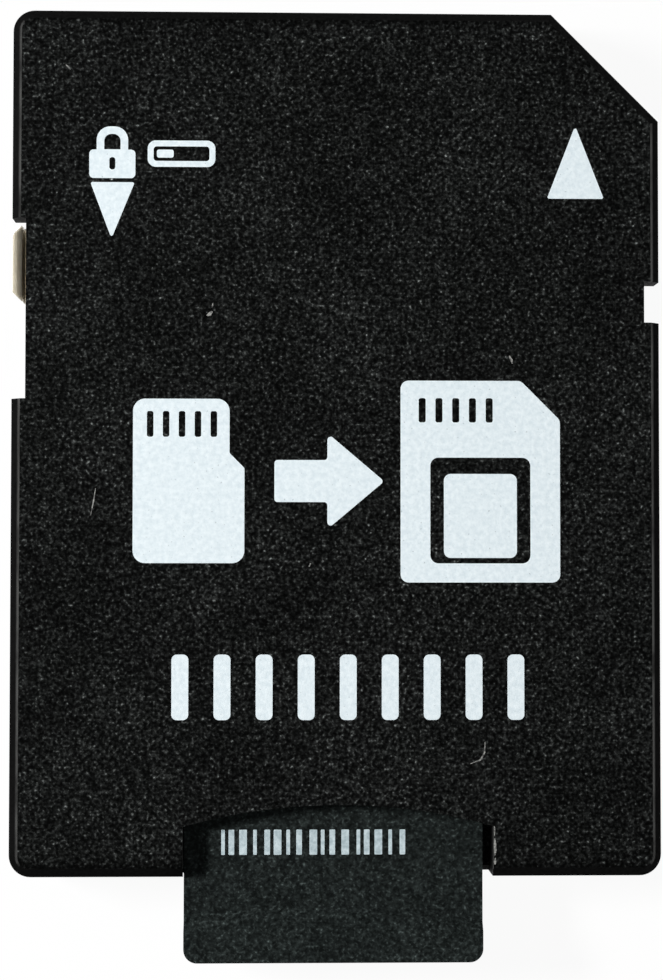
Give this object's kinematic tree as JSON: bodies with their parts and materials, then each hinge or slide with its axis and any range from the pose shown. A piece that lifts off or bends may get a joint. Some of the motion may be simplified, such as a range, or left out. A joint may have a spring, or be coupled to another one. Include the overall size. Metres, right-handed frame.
{
  "type": "memory card adapter with small memory card",
  "caption": "Flat black adapter that lets a small memory card fit a full-size camera card slot, with a sliding lock tab and the small card drawn part of the way out.",
  "frame": {"origin": "centre of the adapter's flat underside", "axes": "+X across the adapter towards the cut corner's side, +Y towards its contact end, +Z out of its label side"},
  "size_m": [0.024, 0.0351, 0.0021],
  "materials": {
    "shell_plastic": "black moulded plastic, fine grain",
    "tab_plastic": "greyish tan moulded plastic",
    "contact_gold": "thin gold plate on copper alloy strip",
    "latch_steel": "spring steel, rolled",
    "card_plastic": "dark grey moulding compound, slightly green",
    "board_laminate": "laminate board under a black lacquer",
    "silicon": "ground silicon"
  },
  "bodies": {
    "adapter": {"base_shell": "shell_plastic", "top_cover": "shell_plastic", "card_latch": "latch_steel", "contact_1": "contact_gold", "contact_2": "contact_gold", "contact_4": "contact_gold", "contact_5": "contact_gold", "contact_6": "contact_gold", "contact_7": "contact_gold", "contact_8": "contact_gold", "contact_9": "contact_gold"},
    "lock": {"lock_tab": "tab_plastic"},
    "card": {"card_moulding": "card_plastic", "card_board": "board_laminate", "memory_die": "silicon", "controller_die": "silicon", "card_pad_1": "contact_gold", "card_pad_2": "contact_gold", "card_pad_3": "contact_gold", "card_pad_4": "contact_gold", "card_pad_5": "contact_gold", "card_pad_6": "contact_gold", "card_pad_7": "contact_gold", "card_pad_8": "contact_gold"}
  },
  "joints": [
    {"name": "lock_slide", "type": "slide", "parent": "adapter", "child": "lock", "axis": [0, -1, 0], "range_m": [0, 0.0032]},
    {"name": "card_slide", "type": "slide", "parent": "adapter", "child": "card", "axis": [0, -1, 0], "range_m": [-0.00263, 0.0125], "deforming": ["card_latch"]}
  ]
}
